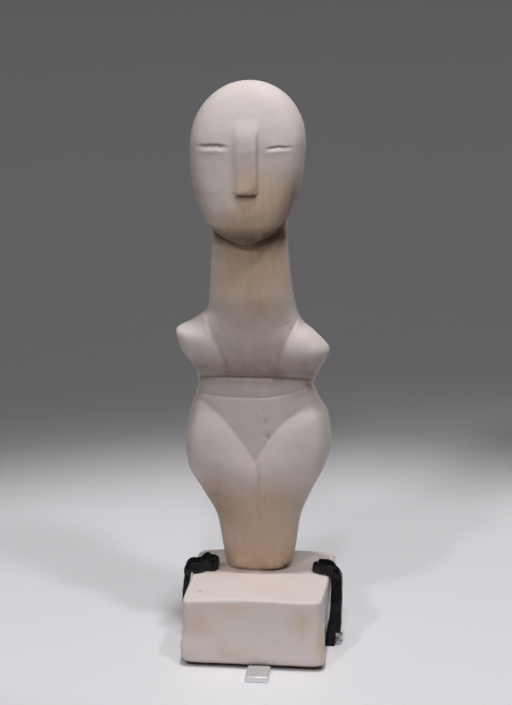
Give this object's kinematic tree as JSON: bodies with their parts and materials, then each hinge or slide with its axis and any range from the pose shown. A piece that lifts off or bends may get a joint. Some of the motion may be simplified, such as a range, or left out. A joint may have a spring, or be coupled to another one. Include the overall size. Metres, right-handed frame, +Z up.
{
  "type": "cycladic figurine",
  "caption": "Standing marble figurine with an egg-shaped head, long neck and broken arm stumps, carved in one with a low block base held by small clips.",
  "frame": {"origin": "centre of the base's flat underside", "axes": "+Z up along the figure, -Y out of the figure's front, +X to the right as seen from the front"},
  "size_m": [0.0643, 0.0613, 0.2231],
  "materials": {
    "marble": "aged, softly smoothed marble with brown and yellow stains",
    "sleeve": "black shrunk sleeve with a dull sheen",
    "tab": "scuffed bright metal"
  },
  "bodies": {
    "root": {"marble_figurine": "marble", "left_mount_clip": "sleeve", "right_mount_clip": "sleeve", "right_clip_tab": "tab", "front_mount_tab": "tab"}
  },
  "joints": []
}
